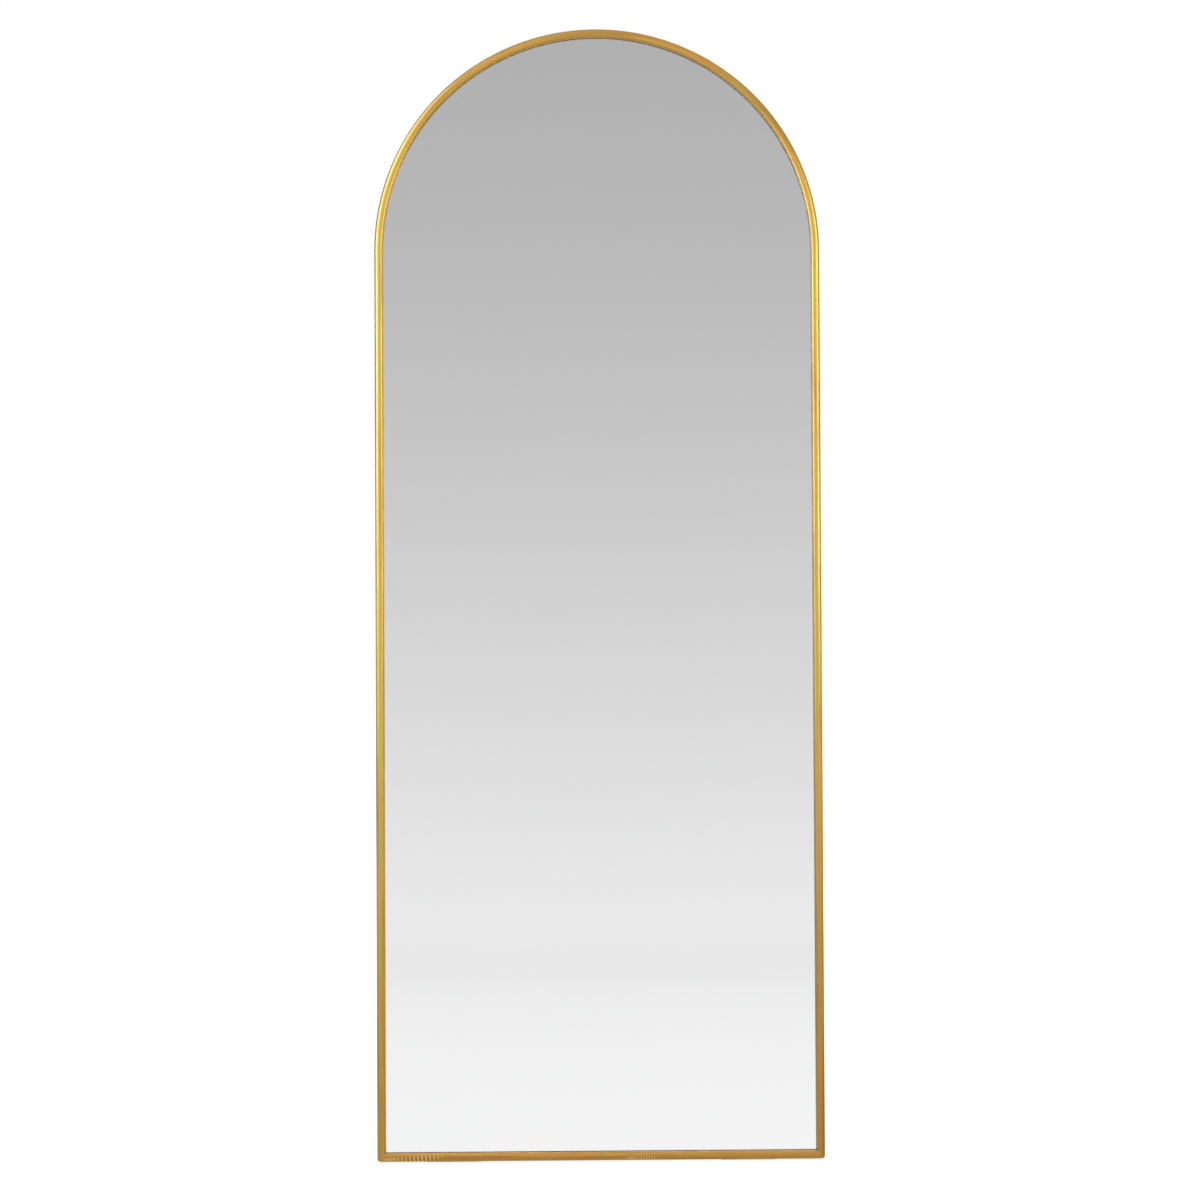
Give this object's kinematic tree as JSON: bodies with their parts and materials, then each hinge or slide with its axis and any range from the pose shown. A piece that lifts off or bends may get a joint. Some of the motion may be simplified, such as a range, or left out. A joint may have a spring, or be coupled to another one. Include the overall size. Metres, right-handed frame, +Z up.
{
  "type": "leaning floor mirror",
  "caption": "Full-length floor mirror with a half-round top, a thin brushed brass-coloured metal frame and a braced fibreboard back, leaning against a wall.",
  "frame": {"origin": "on the floor, under the centre of the leaning mirror's bounding box", "axes": "+Z up; +X across the mirror, to the right of a person who looks into the glass; +Y from the person to the wall behind the mirror, so the glass faces -Y and leans back"},
  "size_m": [0.711, 0.2163, 1.7968],
  "materials": {
    "brass_frame": "brushed, brass-coloured",
    "cast_key": "die-cast, matt",
    "zinc_steel": "bright zinc-plated",
    "clear_tape": "clear double-sided glazing tape, matt",
    "clear_glass": "polished float glass",
    "silver_coating": "silvered",
    "grey_film": "smooth film",
    "foam_tape": "closed-cell foam",
    "black_rubber": "moulded, matt",
    "clear_rubber": "clear, moulded, matt",
    "fibreboard": "medium-density fibreboard, unpainted"
  },
  "bodies": {
    "mirror": {"frame_hoop": "brass_frame", "bottom_rail": "brass_frame", "corner_key_left": "cast_key", "corner_key_right": "cast_key", "corner_key_screws": "zinc_steel", "glazing_tape": "clear_tape", "mirror_glass": "clear_glass", "silvering": "silver_coating", "safety_film": "grey_film", "mounting_tape": "foam_tape", "setting_blocks": "black_rubber", "backing_board": "fibreboard", "board_clips": "zinc_steel", "board_clip_screws": "zinc_steel", "upper_bar": "zinc_steel", "lower_bar": "zinc_steel", "bar_screws": "zinc_steel", "hanger_plate_left": "zinc_steel", "hanger_plate_right": "zinc_steel", "hanger_screws": "zinc_steel", "upper_bumpers": "black_rubber", "lower_bumpers": "black_rubber", "bumper_screws": "zinc_steel", "foot_left": "clear_rubber", "foot_right": "clear_rubber"},
    "ring_left": {"hanger_ring_left": "zinc_steel"},
    "ring_right": {"hanger_ring_right": "zinc_steel"}
  },
  "joints": [
    {"name": "ring_left_swing", "type": "hinge", "parent": "mirror", "child": "ring_left", "pos_m": [-0.215, 0.06849, 1.38263], "axis": [1, 0, 0], "range_deg": [-1.5, 170]},
    {"name": "ring_right_swing", "type": "hinge", "parent": "mirror", "child": "ring_right", "pos_m": [0.215, 0.06849, 1.38263], "axis": [1, 0, 0], "range_deg": [-1.5, 170]}
  ]
}
